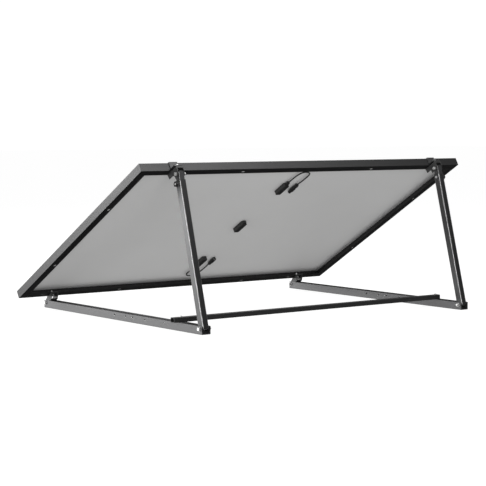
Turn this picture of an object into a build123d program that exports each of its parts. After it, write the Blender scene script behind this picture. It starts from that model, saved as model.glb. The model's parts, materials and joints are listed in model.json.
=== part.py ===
from build123d import *
import math
import os

# Framed photovoltaic module on a folding tilt stand, in millimetres.
# Origin: centre of the footprint, on the floor. +Z is up and X runs along the
# module's long side. -Y is the low, sunny edge; the two telescopic legs stand
# at +Y. "Right" is +X, and the stand parts are drawn there and mirrored.
#
# Module parts are drawn in the PANEL frame: u = x, v up the slope from the lower
# edge, n towards the sun from the back face. Leg parts are drawn in the leg
# frame: x, depth, and distance along the leg from its foot pivot.

os.makedirs("parts", exist_ok=True)

# ---- driving dimensions ------------------------------------------------------
PANEL_L = 1722.0                # long side, along X
PANEL_W = 1134.0                # short side, up the slope
PANEL_T = 35.0                  # frame height
TILT = 30.76                    # slope above the floor, degrees
BACK_Y, BACK_Z = -581.4, 50.5   # lower edge of the back face

RAIL_X = 700.7                  # centre plane of each rail, hinge, leg and clamp
RAIL_W, RAIL_H, RAIL_LEN = 42.0, 33.0, 1200.0
RAIL_T = 2.5
PIVOT_Z = 21.5                  # height of the pivots in the rails
FRONT_Y, REAR_Y = -589.5, 584.0
TOP_Z = 618.0                   # height of the top pivot
LEAN = 15.07                    # lean of the legs from the vertical, degrees

OUT_W, OUT_D, OUT_T = 28.5, 33.0, 1.5   # outer leg tube
IN_W, IN_D, IN_T = 23.5, 27.5, 2.0      # inner leg tube
EAR_OUT, EAR_T = 17.0, 3.0      # outer face and thickness of hinge and clamp ears

M8_R, M8_FLATS, M8_HEAD, M8_NUT = 4.0, 13.0, 5.3, 8.0
M6_R, M6_FLATS, M6_HEAD = 3.0, 10.0, 4.0
PIVOT_BORE_R = 4.05
WASHER_T = 1.6
CLR = 0.02                      # gap between touching parts

# ---- derived positions -------------------------------------------------------
RAIL_OUT, RAIL_IN = RAIL_X + RAIL_W / 2, RAIL_X - RAIL_W / 2
SIN_TILT, COS_TILT = math.sin(math.radians(TILT)), math.cos(math.radians(TILT))
TOP_Y = REAR_Y - (TOP_Z - PIVOT_Z) * math.tan(math.radians(LEAN))
LEG_LEN = math.hypot(REAR_Y - TOP_Y, TOP_Z - PIVOT_Z)


def to_panel(y, z):
    dy, dz = y - BACK_Y, z - BACK_Z
    return dy * COS_TILT + dz * SIN_TILT, -dy * SIN_TILT + dz * COS_TILT


HINGE_V, HINGE_N = to_panel(FRONT_Y, PIVOT_Z)
TOP_V, TOP_N = to_panel(TOP_Y, TOP_Z)

PANEL = Pos(0, BACK_Y, BACK_Z) * Rot(TILT, 0, 0)
RIGHT_LEG = Pos(RAIL_X, 0, 0) * Pos(0, REAR_Y, PIVOT_Z) * Rot(LEAN, 0, 0)


# ---- saving and mirroring ----------------------------------------------------
def save(shapes, name):
    """Write one shape, or a list of shapes, as one STEP file."""
    if not isinstance(shapes, (list, tuple)):
        shapes = [shapes]
    solids = [solid for shape in shapes for solid in shape.solids()]
    part = Compound(children=solids) if len(solids) > 1 else solids[0]
    part.label = name
    export_step(part, "parts/" + name + ".step")


def flip(shape):
    return mirror(shape, about=Plane.YZ)


def both_sides(*shapes):
    return [*shapes, *(flip(shape) for shape in shapes)]


def save_pair(shape, name):
    save(shape, name + "_right")
    save(flip(shape), name + "_left")


# ---- basic shapes ------------------------------------------------------------
BASE_ALIGN = (Align.CENTER, Align.CENTER, Align.MIN)


def prism_x(outline, x0, x1):
    face = make_face(Polyline(*[(0, y, z) for y, z in outline], close=True))
    return Pos(x0, 0, 0) * extrude(face, amount=x1 - x0, dir=(1, 0, 0))


def prism_z(outline, z0, z1):
    face = make_face(Polyline(*[(x, y, 0) for x, y in outline], close=True))
    return Pos(0, 0, z0) * extrude(face, amount=z1 - z0, dir=(0, 0, 1))


def block(x0, x1, y0, y1, z0, z1):
    centre = Pos((x0 + x1) / 2, (y0 + y1) / 2, (z0 + z1) / 2)
    return centre * Box(x1 - x0, y1 - y0, z1 - z0)


def round_corners(shape, radius):
    return fillet(shape.edges().filter_by(Axis.Z), radius)


def cyl_x(radius, x0, x1, y, z):
    return Pos((x0 + x1) / 2, y, z) * Rot(0, 90, 0) * Cylinder(radius, x1 - x0)


def cyl_y(radius, y0, y1, x, z):
    return Pos(x, (y0 + y1) / 2, z) * Rot(90, 0, 0) * Cylinder(radius, y1 - y0)


def cyl_z(radius, z0, z1, x=0, y=0):
    return Pos(x, y, (z0 + z1) / 2) * Cylinder(radius, z1 - z0)


def ring(outer_r, inner_r, z0, z1):
    return cyl_z(outer_r, z0, z1) - cyl_z(inner_r, z0 - 1, z1 + 1)


def cross_drill(radius, y, z):
    """Tool that drills along X through everything on the rail centre plane."""
    return cyl_x(radius, RAIL_X - 30, RAIL_X + 30, y, z)


def facing_x(x, y, z):
    """Location that points a part's +Z along +X."""
    return Pos(x, y, z) * Rot(0, 90, 0)


def facing_minus_x(x, y, z):
    return Pos(x, y, z) * Rot(0, -90, 0)


# ---- fasteners, drawn along +Z -----------------------------------------------
def hexagon(flats, z0, z1):
    """Hexagonal prism with its upper corners chamfered by a cone."""
    height = z1 - z0
    body = Pos(0, 0, z0) * extrude(RegularPolygon(flats / 2, 6, major_radius=False), height)
    dome = Pos(0, 0, z1 - height * 0.5) * Cone(
        flats * 0.60, flats * 0.5, height * 0.999, align=BASE_ALIGN)
    keep = Pos(0, 0, z0) * Cylinder(flats * 0.60, height * 0.5 + 0.01, align=BASE_ALIGN)
    return body & (keep + dome)


def bolt(radius, flats, head, length):
    """Hex bolt: head above z = 0, shank with a chamfered tip below."""
    chamfer = 0.6
    tip = Pos(0, 0, -length) * Cone(radius - chamfer, radius, chamfer, align=BASE_ALIGN)
    shank = Pos(0, 0, -(length - chamfer) / 2) * Cylinder(radius, length - chamfer)
    return hexagon(flats, 0, head) + shank + tip


def m8_bolt(length):
    return bolt(M8_R, M8_FLATS, M8_HEAD, length)


def m6_bolt(length):
    return bolt(M6_R, M6_FLATS, M6_HEAD, length)


def lock_nut():
    """M8 nut with a round crown over the hexagon."""
    hex_h = M8_NUT * 0.78
    crown = Pos(0, 0, hex_h - 0.01) * Cylinder(
        M8_FLATS * 0.44, M8_NUT * 0.22 + 0.01, align=BASE_ALIGN)
    return hexagon(M8_FLATS, 0, hex_h) + crown - cyl_z(M8_R + CLR, -1, M8_NUT + 1)


def spacer_pair(radius, near, far, y, z):
    """Spacers either side of the rail centre plane, between two offsets from it."""
    spacers = []
    for side in (1, -1):
        x0, x1 = sorted((RAIL_X + side * near, RAIL_X + side * far))
        bore = cyl_x(M8_R + 0.1, x0 - 1, x1 + 1, y, z)
        spacers.append(cyl_x(radius, x0, x1, y, z) - bore)
    return spacers


# ---- floor rails -------------------------------------------------------------
ALT_HOLES_Y = (-22.0, 60.0, 114.0, 204.0, 343.0)   # spare cross holes
ALT_HOLE_R = 4.25
ANCHOR_Y, ANCHOR_R = 450.0, 4.5                    # holes through the rail floor


def rail():
    """Channel open at the top."""
    half = RAIL_LEN / 2
    body = block(RAIL_IN, RAIL_OUT, -half, half, 0, RAIL_H)
    body = body - block(RAIL_IN + RAIL_T, RAIL_OUT - RAIL_T, -half - 1, half + 1,
                        RAIL_T, RAIL_H + 1)
    body = fillet(body.edges().filter_by(Axis.Y).group_by(Axis.Z)[0], 1.5)
    for y in (FRONT_Y, REAR_Y):
        body = body - cross_drill(PIVOT_BORE_R, y, PIVOT_Z)
    for y in ALT_HOLES_Y:
        body = body - cross_drill(ALT_HOLE_R, y, PIVOT_Z)
    for y in (-ANCHOR_Y, ANCHOR_Y):
        body = body - cyl_z(ANCHOR_R, -2, RAIL_T + 2, RAIL_X, y)
    return body


save_pair(rail(), "rail")

# ---- cross bar on both rails, one long M6 bolt at each end -------------------
BAR_X0, BAR_X1 = -707.0, 741.0
BAR_BOLT_X = (-690.0, RAIL_X)
BAR_Y, BAR_W, BAR_H, BAR_T = 428.3, 25.0, 20.0, 1.8
BAR_TOP = RAIL_H + BAR_H


def cross_bar():
    y0, y1 = BAR_Y - BAR_W / 2, BAR_Y + BAR_W / 2
    bar = block(BAR_X0, BAR_X1, y0, y1, RAIL_H + CLR, BAR_TOP)
    bar = fillet(bar.edges().filter_by(Axis.X), 2.0)
    bar = bar - block(BAR_X0 - 1, BAR_X1 + 1, y0 + BAR_T, y1 - BAR_T,
                      RAIL_H + BAR_T, BAR_TOP - BAR_T)
    for x in BAR_BOLT_X:
        bar = bar - cyl_z(3.2, RAIL_H - 1, BAR_TOP + 1, x, BAR_Y)
    return bar


def weld_nut():
    return hexagon(M6_FLATS, RAIL_T + CLR, RAIL_T + 5.2) - cyl_z(M6_R + CLR, 0, 20)


save(cross_bar(), "cross_bar")
save([Pos(x, BAR_Y, BAR_TOP + CLR) * m6_bolt(BAR_TOP - 3.2) for x in BAR_BOLT_X],
     "cross_bar_bolts")
save([Pos(x, BAR_Y, 0) * weld_nut() for x in BAR_BOLT_X], "cross_bar_weld_nuts")


# ---- rail pivots: bolt heads outboard, lock nuts inboard ---------------------
def save_rail_pivots():
    washer = ring(8.0, M8_R + 0.2, 0.01, WASHER_T)
    bolts, nuts, washers = [], [], []
    for y in (FRONT_Y, REAR_Y):
        head_at = facing_x(RAIL_OUT + WASHER_T + CLR, y, PIVOT_Z)
        nut_at = facing_minus_x(RAIL_IN - WASHER_T - 2 * CLR, y, PIVOT_Z)
        bolts += both_sides(head_at * m8_bolt(56.0))
        nuts += both_sides(nut_at * lock_nut())
        washers += both_sides(facing_x(RAIL_OUT, y, PIVOT_Z) * washer,
                              facing_minus_x(RAIL_IN, y, PIVOT_Z) * washer)
    save(bolts, "pivot_bolts")
    save(nuts, "pivot_lock_nuts")
    save(washers, "pivot_washers")

    wall = RAIL_W / 2 - RAIL_T - 0.05
    front = spacer_pair(8.0, EAR_OUT + 0.05, wall, FRONT_Y, PIVOT_Z)
    rear = spacer_pair(7.5, OUT_W / 2 + 0.05, wall, REAR_Y, PIVOT_Z)
    save(both_sides(*front), "front_pivot_spacers")
    save(both_sides(*rear), "rear_pivot_spacers")


save_rail_pivots()

# ---- module frame ------------------------------------------------------------
WALL = 1.8                # outer wall and back flange thickness
FLANGE = 35.0             # back flange width
LIP, LIP_T = 10.0, 1.6    # sun-face lip
SEAT = 28.2               # underside support of the laminate
CHAMBER_W = 10.4          # hollow corner-key chamber, from the outer face
CHAMBER_N = 14.0          # underside of the chamber
HINGE_BOLT_V = 20.0

# Frame section and the hollow in it: (distance inward, n)
FRAME_OUTLINE = [
    (0, 0), (FLANGE, 0), (FLANGE, WALL), (WALL, WALL), (WALL, CHAMBER_N),
    (CHAMBER_W, CHAMBER_N), (CHAMBER_W, SEAT), (WALL, SEAT), (WALL, PANEL_T - LIP_T),
    (LIP, PANEL_T - LIP_T), (LIP, PANEL_T), (0, PANEL_T)]
CHAMBER_OUTLINE = [
    (WALL, CHAMBER_N + 1.4), (CHAMBER_W - 1.4, CHAMBER_N + 1.4),
    (CHAMBER_W - 1.4, SEAT - 1.6), (WALL, SEAT - 1.6)]


def frame_bar(length):
    """Bar along X with its outer face at y = 0, mitred at both ends."""
    half = length / 2
    raw = prism_x(FRAME_OUTLINE, -half, half)
    outer_edges = raw.edges().filter_by(Axis.X).filter_by(lambda e: abs(e.center().Y) < 0.01)
    raw = fillet(outer_edges, 0.8)
    raw = raw - prism_x(CHAMBER_OUTLINE, -half - 1, half + 1)
    end = half - CLR
    mitre = [(-end, -1e-3), (end, -1e-3), (end - 40, 40), (-end + 40, 40)]
    return raw & prism_z(mitre, -1, PANEL_T + 1)


def mount_slot(x, y, turn=0):
    """Tool for a 14 x 9 slot through the back flange."""
    return Pos(x, y, -2) * extrude(Rot(0, 0, turn) * SlotOverall(14.0, 9.0), 6)


def flange_hole(radius, x, y):
    return cyl_z(radius, -1, 4, x, y)


def frame_bottom():
    bar = frame_bar(PANEL_L)
    for x in (-350.0, 350.0):
        bar = bar - mount_slot(x, 22.0)
    for x in (-RAIL_X, RAIL_X):
        bar = bar - flange_hole(4.5, x, HINGE_BOLT_V)
    # drain and earthing holes
    for side in (-1, 1):
        bar = bar - flange_hole(2.1, side * 846.0, 16.0) - flange_hole(2.1, side * 520.0, 25.0)
    return bar


def frame_top():
    bar = Pos(0, PANEL_W, 0) * mirror(frame_bar(PANEL_L), about=Plane.XZ)
    for x in (-350.0, 350.0):
        bar = bar - mount_slot(x, PANEL_W - 22.0)
    for x in (-846.0, 846.0):
        bar = bar - flange_hole(2.1, x, PANEL_W - 16.0)
    return bar


def frame_side(side):
    """Side bar at +X (side = 1) or -X (side = -1)."""
    bar = Pos(side * PANEL_L / 2, PANEL_W / 2, 0) * Rot(0, 0, 90 * side) * frame_bar(PANEL_W)
    for v in (PANEL_W / 2 - 249.0, PANEL_W / 2 + 249.0):
        bar = bar - mount_slot(side * (PANEL_L / 2 - 23.0), v, 90)
    return bar


def corner_keys():
    """L-shaped keys pressed into the hollow chambers."""
    near, far, arm = WALL + 0.1, CHAMBER_W - 1.5, 62
    corner = [(near, near), (arm, near), (arm, far), (far, far), (far, arm), (near, arm)]
    keys = []
    for side in (-1, 1):
        for at_top in (False, True):
            outline = [(side * (PANEL_L / 2 - a), PANEL_W - b if at_top else b)
                       for a, b in corner]
            keys.append(PANEL * prism_z(outline, CHAMBER_N + 1.5, SEAT - 1.7))
    return keys


save(PANEL * frame_bottom(), "frame_bottom")
save(PANEL * frame_top(), "frame_top")
save(PANEL * frame_side(1), "frame_side_right")
save(PANEL * frame_side(-1), "frame_side_left")
save(corner_keys(), "corner_keys")

# ---- laminate ----------------------------------------------------------------
EDGE = 3.0                # laminate edge, in from the frame's outer face


def sheet(n0, n1, inset=0.0):
    """Sheet over the laminate area; a negative inset makes it larger."""
    x = PANEL_L / 2 - EDGE - inset
    return block(-x, x, EDGE + inset, PANEL_W - EDGE - inset, n0, n1)


save(PANEL * round_corners(sheet(30.1, 33.3), 2.0), "glass_sheet")
save(PANEL * sheet(29.65, 30.1, 0.5), "front_encapsulant")
save(PANEL * sheet(28.85, 29.3, 0.5), "rear_encapsulant")
save(PANEL * sheet(28.5, 28.85), "backsheet")
save(PANEL * (sheet(SEAT + 0.1, PANEL_T - LIP_T - 0.1, -1.1) - sheet(SEAT, PANEL_T, -0.1)),
     "edge_sealant")

# ---- cells: two halves of nine columns, six rows -----------------------------
CELL_U, CELL_V, CELL_CHAMFER = 91.0, 182.0, 8.0
PITCH_U, PITCH_V, MID_GAP = 92.6, 184.0, 14.0
HALF_COLUMNS, ROWS = 9, 6
STRING_END = MID_GAP / 2 + HALF_COLUMNS * PITCH_U
WIRES, WIRE_PITCH, WIRE_W = 9, 20.0, 0.7
COLLECTOR_W = 5.0


def row_v(row):
    return PANEL_W / 2 + (row - 2.5) * PITCH_V


def solar_cells():
    """Half cells, chamfered at the corners away from the middle gap."""
    cells = []
    for column in range(-HALF_COLUMNS, HALF_COLUMNS):
        side = 1 if column >= 0 else -1
        u = side * MID_GAP / 2 + PITCH_U * (column + 0.5)
        inner, outer = u - side * CELL_U / 2, u + side * CELL_U / 2
        cut = outer - side * CELL_CHAMFER
        for row in range(ROWS):
            low, high = row_v(row) - CELL_V / 2, row_v(row) + CELL_V / 2
            outline = [(inner, low), (cut, low), (outer, low + CELL_CHAMFER),
                       (outer, high - CELL_CHAMFER), (cut, high), (inner, high)]
            cells.append(PANEL * prism_z(outline, 29.33, 29.50))
    return cells


def cell_ribbons():
    """Thin wires along each string, and flat collectors at the ends and middle."""
    ribbons = []
    for row in range(ROWS):
        for side in (-1, 1):
            u0, u1 = sorted((side * (MID_GAP / 2 + 1.0), side * (STRING_END + 3.0)))
            for wire in range(WIRES):
                v = row_v(row) + (wire - 4) * WIRE_PITCH
                ribbons.append(block(u0, u1, v - WIRE_W / 2, v + WIRE_W / 2, 29.51, 29.56))
    for side in (-1, 0, 1):
        u = side * (STRING_END + 6.5)
        trim = 8.0 if side else 10.0
        for pair in range(3):
            v = PANEL_W / 2 + (2 * pair - 3) * PITCH_V
            ribbons.append(block(u - COLLECTOR_W / 2, u + COLLECTOR_W / 2,
                                 v + trim, v + 2 * PITCH_V - trim, 29.4, 29.6))
    return [PANEL * ribbon for ribbon in ribbons]


save(solar_cells(), "solar_cells")
save(cell_ribbons(), "cell_ribbons")

# ---- junction boxes, drawn about their own centre ----------------------------
BOX_U, BOX_V, BOX_CORNER = 26.0, 76.0, 5.0
LID_N, BOX_N0, BOX_N1 = 10.0, 12.6, 28.0    # lid face, base rim, base floor
CABLE_R, CABLE_N = 3.0, 20.0

# name: (u, v, side of the cable outlet along v; 0 for none)
BOXES = {"upper": (5.0, 916.0, 1), "middle": (5.0, 568.0, 0), "lower": (6.5, 222.0, -1)}


def box_block(inset, n0, n1):
    x, y = BOX_U / 2 - inset, BOX_V / 2 - inset
    return block(-x, x, -y, y, n0, n1)


def rounded_box(inset, n0, n1):
    return round_corners(box_block(inset, n0, n1), BOX_CORNER - inset)


def box_base(outlet):
    """Shell with a window in its floor, and a cable boss or a plain tab."""
    base = rounded_box(0, BOX_N0, BOX_N1) - rounded_box(2, BOX_N0 - 1, BOX_N1 - 2)
    base = base - block(-8, 8, -4, 4, BOX_N1 - 3, BOX_N1 + 1)
    end = BOX_V / 2
    if outlet == 0:
        return base + block(-8, 8, end - 1, end + 5, 16.0, 27.0)
    boss = sorted((outlet * (end - 1), outlet * (end + 4)))
    bore = sorted((outlet * (end - 4), outlet * (end + 6)))
    return base + cyl_y(7.2, *boss, 0, CABLE_N) - cyl_y(3.2, *bore, 0, CABLE_N)


def box_lid():
    lid = rounded_box(0, LID_N, BOX_N0 - 0.05)
    lid = fillet(lid.faces().sort_by(Axis.Z)[0].edges(), 1.2)
    lip = rounded_box(2.2, BOX_N0 - 0.1, BOX_N0 + 2)
    return lid + (lip - box_block(3.7, BOX_N0 - 1, BOX_N0 + 3))


def box_pad():
    return box_block(1, BOX_N1 + 0.05, 28.45) - block(-9, 9, -6, 6, 27, 29)


def bypass_diode():
    lead = (-0.8, 0.8)
    lead_n = (BOX_N1 - 4.6, BOX_N1 - 3.8)
    return (block(-5, 5, 8, 18, BOX_N1 - 6.6, BOX_N1 - 2.1)
            + block(*lead, 17.5, 25, *lead_n) + block(*lead, 5.5, 8.5, *lead_n))


def save_junction_boxes():
    pads, diodes = [], []
    for name, (u, v, outlet) in BOXES.items():
        place = PANEL * Pos(u, v, 0)
        save(place * box_base(outlet), "junction_box_base_" + name)
        save(place * box_lid(), "junction_box_lid_" + name)
        pads.append(place * box_pad())
        diodes.append(place * bypass_diode())
    save(pads, "junction_box_adhesive")
    save(diodes, "bypass_diodes")


save_junction_boxes()

# ---- cables and connectors ---------------------------------------------------
# name: straight steps out from the box centre along v,
#       bends as (u, v, depth below CABLE_N), and the (u, v) end of the cable
CABLES = {
    "upper": ((33, 50, 64),
              [(2.5, 1030, 1), (-5.5, 1054, 2), (-20, 1063, 2), (-40, 1060, 2),
               (-57, 1046, 1.5), (-63, 1022, 1), (-60.5, 980, 1)],
              (-58.0, 931.0)),
    "lower": ((33, 48, 62),
              [(10, 134, 1), (14.5, 108, 2), (5, 87, 2), (-15, 78, 2),
               (-38, 84, 1.5), (-53, 108, 1), (-57.5, 150, 1)],
              (-57.0, 213.5)),
}
END_N = CABLE_N - 1
END_OVERLAP = 6.0         # cable length inside its connector


def cable(name):
    box_u, box_v, side = BOXES[name]
    steps, bends, (end_u, end_v) = CABLES[name]
    points = [(box_u, box_v + side * step, CABLE_N) for step in steps]
    points += [(u, v, CABLE_N - depth) for u, v, depth in bends]
    points += [(end_u, end_v + side * step, END_N) for step in (30, 15, 0)]
    path = Spline(*points, tangents=((0, side, 0), (0, -side, 0)))
    profile = Plane(origin=points[0], z_dir=(0, side, 0)) * Circle(CABLE_R)
    return PANEL * sweep(profile, path=path)


def facing_v(u, v, n, side):
    """Location that points a part's +Z up the slope (side = 1) or down it (-1)."""
    return PANEL * Pos(u, v, n) * Rot(-90 * side, 0, 0)


def gland_nut():
    """Grooved compression nut, wide end at z = 0."""
    nut = ring(8.2, CABLE_R + 0.15, 0, 9.0) + ring(6.4, CABLE_R + 0.15, 8.5, 13.5)
    for i in range(12):
        nut = nut - Rot(0, 0, 30 * i) * cyl_z(0.8, -1, 7.0, 8.6, 0)
    return nut


def plug():
    """Plug body with two hooked latch arms."""
    body = ring(8.0, 3.5, 0.05, 16.0) + ring(9.2, 3.5, 15.5, 38.0)
    body = body + ring(7.0, 4.6, 37.5, 53.0)
    body = (body + block(-11.2, -9.0, -2.5, 2.5, 24.0, 47.0)
            + block(9.0, 11.2, -2.5, 2.5, 24.0, 47.0)
            + block(-11.2, -6.6, -2.5, 2.5, 24.0, 27.0)
            + block(6.6, 11.2, -2.5, 2.5, 24.0, 27.0))
    return body - cyl_z(4.6, 30.0, 60.0)


def socket():
    """Socket body with a window across its mouth."""
    body = ring(8.0, 3.5, 0.05, 10.0) + ring(9.2, 3.5, 9.5, 27.0)
    body = body + ring(8.6, 5.4, 26.5, 38.0)
    body = body - block(-12, 12, -2.8, 2.8, 29.0, 34.0)
    return body - cyl_z(5.4, 19.0, 60.0)


def save_cables():
    pin = cyl_z(2.0, 12.0, 46.0) + cyl_z(3.4, 12.0, 18.0)
    sleeve = ring(2.9, 2.0, 15.0, 35.0) + cyl_z(3.4, 9.0, 15.5)
    glands, contacts = [], []
    for name, connector, connector_name, contact in (
            ("upper", plug(), "connector_plug", pin),
            ("lower", socket(), "connector_socket", sleeve)):
        save(cable(name), "cable_" + name)
        box_u, box_v, side = BOXES[name]
        end_u, end_v = CABLES[name][2]
        back = (end_u, end_v + side * END_OVERLAP, END_N)
        glands.append(facing_v(box_u, box_v + side * (BOX_V / 2 + 4.05), CABLE_N, side)
                      * gland_nut())
        glands.append(facing_v(*back, side) * gland_nut())
        save(facing_v(*back, -side) * connector, connector_name)
        contacts.append(facing_v(*back, -side) * contact)
    save(glands, "cable_gland_nuts")
    save(contacts, "connector_contacts")


save_cables()


# ---- front hinge brackets ----------------------------------------------------
def ear_pair(outline, radius, v, n):
    """Two parallel ears, each an outline in (v, n) with a round boss at the pivot."""
    ears = []
    for side in (1, -1):
        x0, x1 = sorted((RAIL_X + side * (EAR_OUT - EAR_T), RAIL_X + side * EAR_OUT))
        ears.append(prism_x(outline, x0, x1) + cyl_x(radius, x0, x1, v, n))
    return ears[0] + ears[1]


# (v, n)
HINGE_OUTLINE = [
    (HINGE_V - 10.3, HINGE_N + 2.6), (HINGE_V - 4.0, HINGE_N + 9.8), (2.0, -CLR),
    (46.0, -CLR), (46.0, -4.0), (24.0, -26.0),
    (HINGE_V + 2.5, HINGE_N - 10.2), (HINGE_V - 6, HINGE_N - 8)]
HINGE_WEB = [(24.0, -26.0), (26.4, -23.6),
             (HINGE_V + 2.2, HINGE_N - 7.7), (HINGE_V + 2.5, HINGE_N - 10.2)]
HINGE_PLATE_T = 3.5


def hinge_bracket():
    x0, x1 = RAIL_X - EAR_OUT, RAIL_X + EAR_OUT
    plate = block(x0, x1, 2.0, 46.0, -HINGE_PLATE_T, -CLR)
    web = prism_x(HINGE_WEB, x0 + 1, x1 - 1)
    bracket = ear_pair(HINGE_OUTLINE, 10.5, HINGE_V, HINGE_N) + plate + web
    bracket = bracket - cross_drill(PIVOT_BORE_R, HINGE_V, HINGE_N)
    return bracket - cyl_z(4.3, -6, 2, RAIL_X, HINGE_BOLT_V)


save_pair(PANEL * hinge_bracket(), "hinge_bracket")
HINGE_BOLT_AT = PANEL * Pos(RAIL_X, HINGE_BOLT_V, -HINGE_PLATE_T - CLR) * Rot(180, 0, 0)
save(both_sides(HINGE_BOLT_AT * m8_bolt(20.0)), "hinge_bracket_bolts")

# ---- top clamps --------------------------------------------------------------
CLAMP_BOLT_V = PANEL_W + 19.0
JAW_W = 40.0
JAW_FOOT_N = 9.4          # sun side of the jaw's foot, under the bolt head
JAW_TOP_N = PANEL_T + 3.6

# (v, n)
CLAMP_OUTLINE = [
    (PANEL_W - 34.0, -CLR), (PANEL_W + 36.0, -CLR), (PANEL_W + 36.0, -18.0),
    (TOP_V + 11.0, TOP_N - 6.0), (TOP_V + 4.0, TOP_N - 11.6), (TOP_V - 6.0, TOP_N - 10.8),
    (TOP_V - 16.0, TOP_N - 1.5), (PANEL_W - 4.0, -21.0), (PANEL_W - 32.0, -21.0)]
JAW_OUTLINE = [
    (PANEL_W - 12.0, PANEL_T + CLR), (PANEL_W + CLR, PANEL_T + CLR), (PANEL_W + CLR, 5.4),
    (PANEL_W + 31.0, 5.4), (PANEL_W + 31.0, JAW_FOOT_N), (PANEL_W + 4.0, JAW_FOOT_N),
    (PANEL_W + 4.0, JAW_TOP_N), (PANEL_W - 12.0, JAW_TOP_N)]


def clamp_body():
    plate = block(RAIL_X - EAR_OUT, RAIL_X + EAR_OUT, PANEL_W - 34.0, PANEL_W + 36.0,
                  -6.0, -CLR)
    clamp = ear_pair(CLAMP_OUTLINE, 12.0, TOP_V, TOP_N) + plate
    clamp = clamp - cross_drill(PIVOT_BORE_R, TOP_V, TOP_N)
    return clamp - cyl_z(M8_R + CLR, -8, 2, RAIL_X, CLAMP_BOLT_V)


def clamp_jaw():
    """Jaw that hooks over the top frame bar's sun face."""
    jaw = prism_x(JAW_OUTLINE, RAIL_X - JAW_W / 2, RAIL_X + JAW_W / 2)
    outer_edge = jaw.edges().filter_by(Axis.X).filter_by(
        lambda e: e.center().Y > PANEL_W + 3.9 and e.center().Z > PANEL_T)
    jaw = fillet(outer_edge, 2.5)
    return jaw - cyl_z(4.4, 5, 14, RAIL_X, CLAMP_BOLT_V)


def jam_nut():
    return hexagon(M8_FLATS, 0.05, 5.0) - cyl_z(M8_R + CLR, -1, 8)


save_pair(PANEL * clamp_body(), "clamp_body")
save_pair(PANEL * clamp_jaw(), "clamp_jaw")
save(both_sides(PANEL * Pos(RAIL_X, CLAMP_BOLT_V, JAW_FOOT_N + CLR) * m8_bolt(15.3)),
     "clamp_bolts")
save(both_sides(PANEL * Pos(RAIL_X, CLAMP_BOLT_V, 0) * jam_nut()), "clamp_jam_nuts")


# ---- top pivots: bolt heads outboard, nuts inboard ---------------------------
def save_top_pivots():
    head_at = PANEL * facing_x(RAIL_X + EAR_OUT + CLR, TOP_V, TOP_N)
    nut_at = PANEL * facing_minus_x(RAIL_X - EAR_OUT - CLR, TOP_V, TOP_N)
    hinge_nut_at = PANEL * Pos(RAIL_X, HINGE_BOLT_V, WALL + CLR)
    spacers = spacer_pair(8.5, IN_W / 2 + 0.12, EAR_OUT - EAR_T - CLR, TOP_V, TOP_N)
    save(both_sides(head_at * m8_bolt(2 * EAR_OUT + 9.0)), "top_pivot_bolts")
    save(both_sides(nut_at * lock_nut(), hinge_nut_at * lock_nut()), "panel_lock_nuts")
    save(both_sides(*(PANEL * spacer for spacer in spacers)), "top_pivot_spacers")


save_top_pivots()

# ---- telescopic legs ---------------------------------------------------------
OUT_BOTTOM, OUT_TOP, OUT_CORNER = -11.0, 590.0, 3.5
IN_BOTTOM, IN_TOP = 110.0, LEG_LEN + 10.0
KNOB_AT = 577.4                     # clamp bolt, along the leg
EXT_MIN, EXT_MAX = -11.8, 386.5     # travel of the inner leg
KNOB_BORE_R = M6_R + 0.2
COLLAR_DEPTH, COLLAR_RIM = 34, 2.0


def rect_tube(width, depth, wall, corner, z0, z1):
    outside = Pos(0, 0, z0) * extrude(RectangleRounded(width, depth, corner), z1 - z0)
    hollow = RectangleRounded(width - 2 * wall, depth - 2 * wall, max(corner - wall, 0.5))
    return outside - Pos(0, 0, z0 - 1) * extrude(hollow, z1 - z0 + 2)


def leg_drill(radius, z):
    return cyl_x(radius, -30, 30, 0, z)


def cut_slot(tube, radius, low, high):
    """Cut a round-ended slot across the tube, along its length."""
    tube = tube - block(-30, 30, -radius, radius, low, high)
    return tube - leg_drill(radius, low) - leg_drill(radius, high)


def leg_outer():
    tube = rect_tube(OUT_W, OUT_D, OUT_T, OUT_CORNER, OUT_BOTTOM, OUT_TOP)
    # round the foot so that it turns freely inside the rail
    foot = block(-30, 30, -30, 30, OUT_BOTTOM - 5, 0) - cyl_x(OUT_D / 2 + 0.1, -40, 40, 0, 3.0)
    foot = foot & block(-30, 30, -30, 30, OUT_BOTTOM - 5, -1.0)
    tube = tube - foot
    return tube - leg_drill(PIVOT_BORE_R, 0) - leg_drill(KNOB_BORE_R, KNOB_AT)


def leg_collar():
    """Plastic collar lining the mouth of the outer leg, with a rim on top."""
    lining = RectangleRounded(OUT_W - 2 * OUT_T - 0.06, OUT_D - 2 * OUT_T - 0.06, 1.9)
    opening = RectangleRounded(IN_W + 0.12, IN_D + 0.12, 1.6)
    rim = RectangleRounded(OUT_W, OUT_D, OUT_CORNER)
    collar = Pos(0, 0, OUT_TOP - COLLAR_DEPTH) * extrude(lining - opening, COLLAR_DEPTH + 0.5)
    collar = collar + Pos(0, 0, OUT_TOP + CLR) * extrude(rim - opening, COLLAR_RIM)
    return collar - leg_drill(KNOB_BORE_R, KNOB_AT)


def leg_inner():
    """Inner tube with a long travel slot and a slotted eye at the top pivot."""
    tube = rect_tube(IN_W, IN_D, IN_T, 2.2, IN_BOTTOM, IN_TOP)
    tube = cut_slot(tube, M6_R + 0.3, KNOB_AT - EXT_MAX, KNOB_AT - EXT_MIN)
    eye_run = 2.3
    return cut_slot(tube, M8_R + 0.25, LEG_LEN - eye_run, LEG_LEN + eye_run)


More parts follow.
